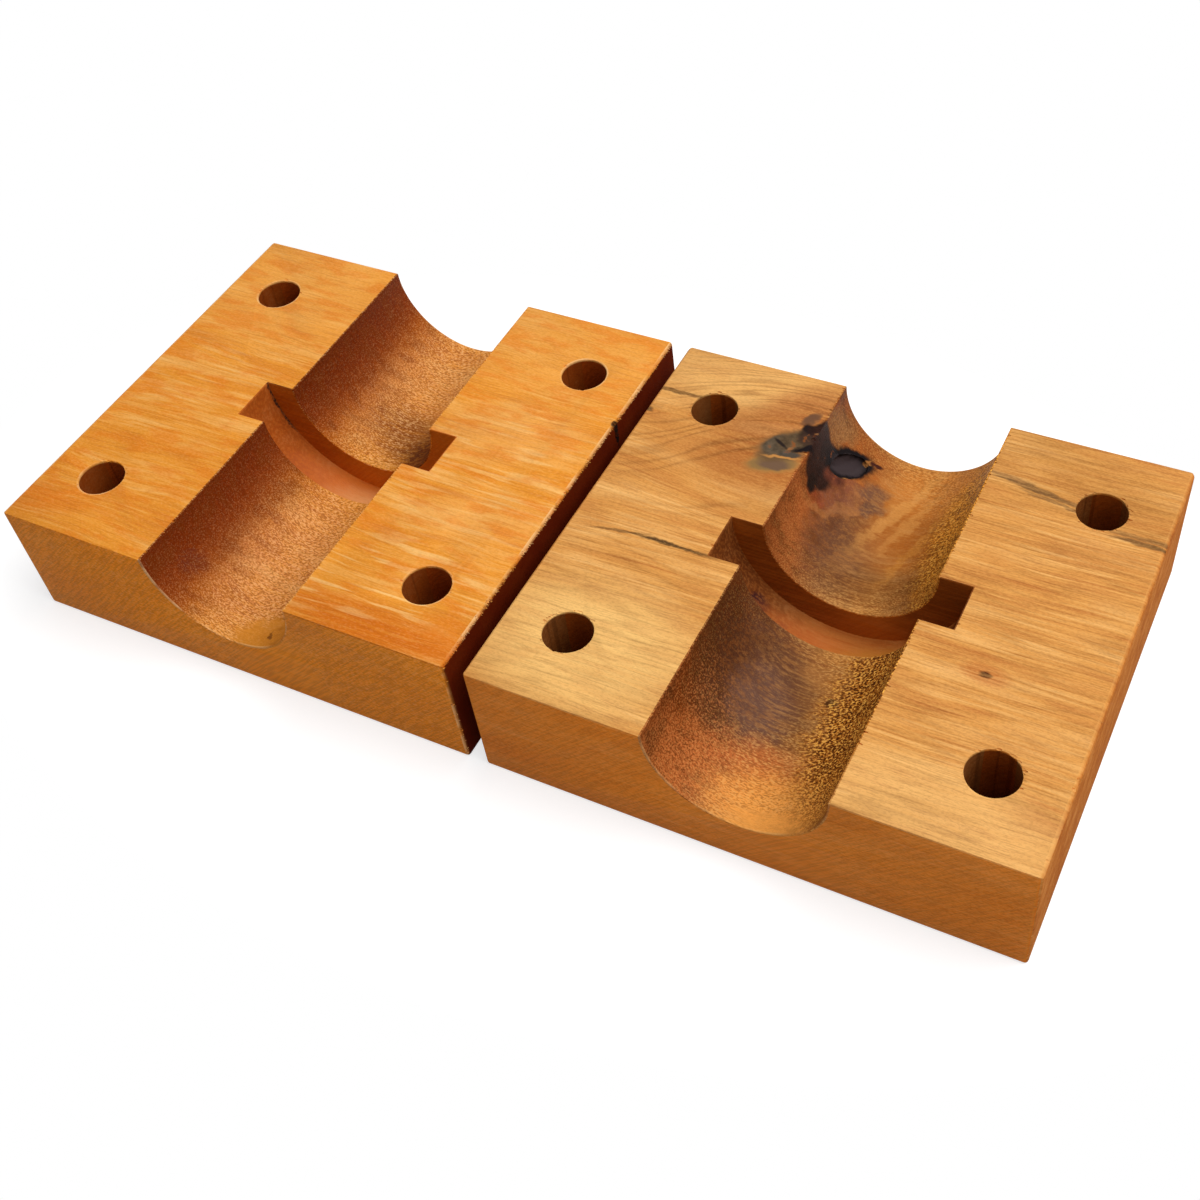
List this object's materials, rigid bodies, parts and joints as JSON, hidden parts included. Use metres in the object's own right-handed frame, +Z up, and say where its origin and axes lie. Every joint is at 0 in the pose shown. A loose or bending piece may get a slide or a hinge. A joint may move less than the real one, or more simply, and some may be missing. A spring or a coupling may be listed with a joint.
{
  "type": "split wooden bearing block",
  "caption": "Split hardwood bearing block laid open: matching halves with a half-round shaft bore, a turned collar groove across it and bolt holes at the corners.",
  "frame": {"origin": "on the floor, midway between the two halves and at mid-length of their bores", "axes": "+X across the bores from the left half to the right, +Y along the bores from front to back, +Z up, out of the split faces"},
  "size_m": [0.2586, 0.1142, 0.0333],
  "materials": {
    "left_wood": "oil-soaked, sawn and bored, orange-golden",
    "right_wood": "oil-soaked, sawn and bored, paler tan with a dark bark knot"
  },
  "bodies": {
    "root": {"left_half": "left_wood", "right_half": "right_wood"}
  },
  "joints": []
}
